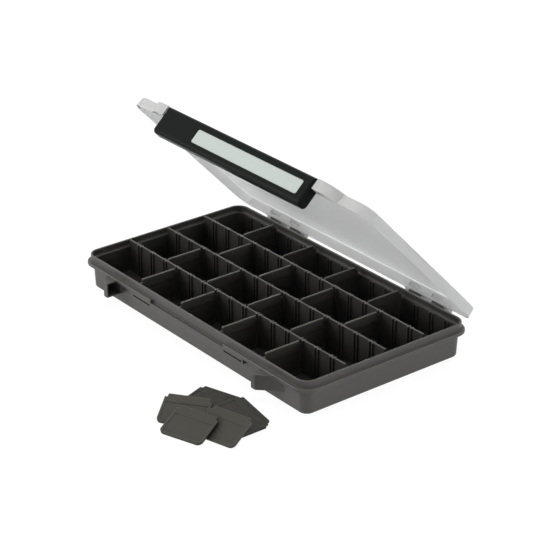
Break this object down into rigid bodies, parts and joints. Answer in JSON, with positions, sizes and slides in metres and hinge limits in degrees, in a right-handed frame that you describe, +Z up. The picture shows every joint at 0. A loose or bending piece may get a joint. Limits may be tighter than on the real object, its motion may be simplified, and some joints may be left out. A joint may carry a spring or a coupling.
{
  "type": "tackle box",
  "caption": "Flat tackle box: ribbed tray with removable dividers in slotted channels, a hinged frosted lid and a long latch bar with a blank label.",
  "frame": {"origin": "centre of the tray's flat underside", "axes": "+X to the right end of the box seen from the latch side, +Y to the hinges, +Z up"},
  "size_m": [0.2758, 0.2521, 0.1523],
  "materials": {
    "tray_plastic": "satin",
    "divider_plastic": "satin",
    "lid_plastic": "frosted translucent",
    "latch_plastic": "satin",
    "label_card": "satin"
  },
  "bodies": {
    "tray": {"tray": "tray_plastic", "spare_divider_1": "divider_plastic", "spare_divider_2": "divider_plastic", "spare_divider_3": "divider_plastic", "spare_divider_4": "divider_plastic", "spare_divider_5": "divider_plastic", "spare_divider_6": "divider_plastic", "spare_divider_7": "divider_plastic", "spare_divider_8": "divider_plastic"},
    "lid": {"lid": "lid_plastic"},
    "latch": {"latch": "latch_plastic", "label_plate": "label_card"},
    "divider_1_4": {"divider_1_4": "divider_plastic"},
    "divider_1_7": {"divider_1_7": "divider_plastic"},
    "divider_1_10": {"divider_1_10": "divider_plastic"},
    "divider_1_13": {"divider_1_13": "divider_plastic"},
    "divider_2_3": {"divider_2_3": "divider_plastic"},
    "divider_2_6": {"divider_2_6": "divider_plastic"},
    "divider_2_9": {"divider_2_9": "divider_plastic"},
    "divider_2_12": {"divider_2_12": "divider_plastic"},
    "divider_3_4": {"divider_3_4": "divider_plastic"},
    "divider_3_7": {"divider_3_7": "divider_plastic"},
    "divider_3_10": {"divider_3_10": "divider_plastic"},
    "divider_3_13": {"divider_3_13": "divider_plastic"},
    "divider_4_3": {"divider_4_3": "divider_plastic"},
    "divider_4_6": {"divider_4_6": "divider_plastic"},
    "divider_4_9": {"divider_4_9": "divider_plastic"},
    "divider_4_12": {"divider_4_12": "divider_plastic"}
  },
  "joints": [
    {"name": "lid_hinge", "type": "hinge", "parent": "tray", "child": "lid", "pos_m": [0, 0.08425, 0.02265], "axis": [-1, 0, 0], "range_deg": [-46.5, 133.5]},
    {"name": "latch_hinge", "type": "hinge", "parent": "lid", "child": "latch", "pos_m": [0, -0.02713, 0.14808], "axis": [-1, 0, 0], "range_deg": [0, 100]},
    {"name": "divider_1_4_lift", "type": "slide", "parent": "tray", "child": "divider_1_4", "axis": [0, 0, 1], "range_m": [0, 0.028]},
    {"name": "divider_1_7_lift", "type": "slide", "parent": "tray", "child": "divider_1_7", "axis": [0, 0, 1], "range_m": [0, 0.028]},
    {"name": "divider_1_10_lift", "type": "slide", "parent": "tray", "child": "divider_1_10", "axis": [0, 0, 1], "range_m": [0, 0.028]},
    {"name": "divider_1_13_lift", "type": "slide", "parent": "tray", "child": "divider_1_13", "axis": [0, 0, 1], "range_m": [0, 0.028]},
    {"name": "divider_2_3_lift", "type": "slide", "parent": "tray", "child": "divider_2_3", "axis": [0, 0, 1], "range_m": [0, 0.028]},
    {"name": "divider_2_6_lift", "type": "slide", "parent": "tray", "child": "divider_2_6", "axis": [0, 0, 1], "range_m": [0, 0.028]},
    {"name": "divider_2_9_lift", "type": "slide", "parent": "tray", "child": "divider_2_9", "axis": [0, 0, 1], "range_m": [0, 0.028]},
    {"name": "divider_2_12_lift", "type": "slide", "parent": "tray", "child": "divider_2_12", "axis": [0, 0, 1], "range_m": [0, 0.028]},
    {"name": "divider_3_4_lift", "type": "slide", "parent": "tray", "child": "divider_3_4", "axis": [0, 0, 1], "range_m": [0, 0.028]},
    {"name": "divider_3_7_lift", "type": "slide", "parent": "tray", "child": "divider_3_7", "axis": [0, 0, 1], "range_m": [0, 0.028]},
    {"name": "divider_3_10_lift", "type": "slide", "parent": "tray", "child": "divider_3_10", "axis": [0, 0, 1], "range_m": [0, 0.028]},
    {"name": "divider_3_13_lift", "type": "slide", "parent": "tray", "child": "divider_3_13", "axis": [0, 0, 1], "range_m": [0, 0.028]},
    {"name": "divider_4_3_lift", "type": "slide", "parent": "tray", "child": "divider_4_3", "axis": [0, 0, 1], "range_m": [0, 0.014]},
    {"name": "divider_4_6_lift", "type": "slide", "parent": "tray", "child": "divider_4_6", "axis": [0, 0, 1], "range_m": [0, 0.014]},
    {"name": "divider_4_9_lift", "type": "slide", "parent": "tray", "child": "divider_4_9", "axis": [0, 0, 1], "range_m": [0, 0.014]},
    {"name": "divider_4_12_lift", "type": "slide", "parent": "tray", "child": "divider_4_12", "axis": [0, 0, 1], "range_m": [0, 0.014]}
  ]
}
